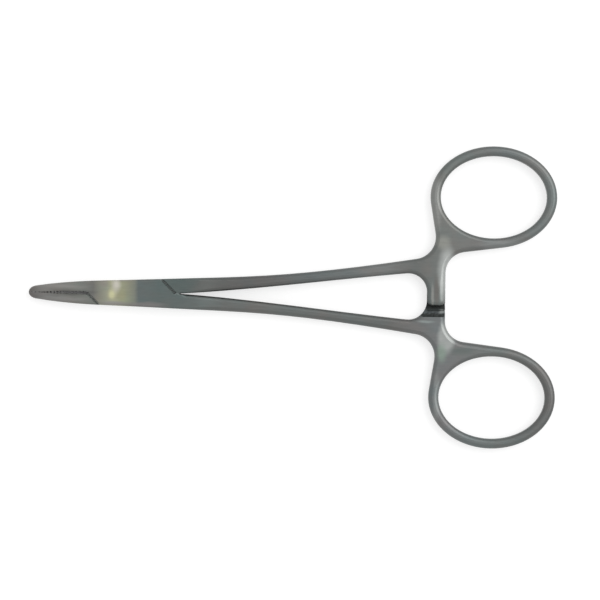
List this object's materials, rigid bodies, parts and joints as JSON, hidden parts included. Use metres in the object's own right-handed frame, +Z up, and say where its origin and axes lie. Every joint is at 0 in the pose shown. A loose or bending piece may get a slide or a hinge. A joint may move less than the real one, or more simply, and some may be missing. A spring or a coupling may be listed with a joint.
{
  "type": "needle holder",
  "caption": "Ring-handled surgical needle holder in stainless steel, with short cross-cut jaws, a box lock and a side-by-side ratchet between the shanks.",
  "frame": {"origin": "on the pivot's axis at the underside of the box lock, the face it lies on", "axes": "+X from the pivot to the finger rings, +Z up through the box lock, +Y towards the finger ring of the half that passes through the box"},
  "size_m": [0.13, 0.0744, 0.0042],
  "materials": {
    "box_half": "satin",
    "through_half": "satin",
    "pivot_pin": "satin"
  },
  "bodies": {
    "box_half": {"box_half": "box_half", "pivot_pin": "pivot_pin"},
    "through_half": {"through_half": "through_half"}
  },
  "joints": [
    {"name": "box_lock", "type": "hinge", "parent": "box_half", "child": "through_half", "pos_m": [0, 0, 0.0021], "axis": [0, 0, 1], "range_deg": [0, 60]}
  ]
}
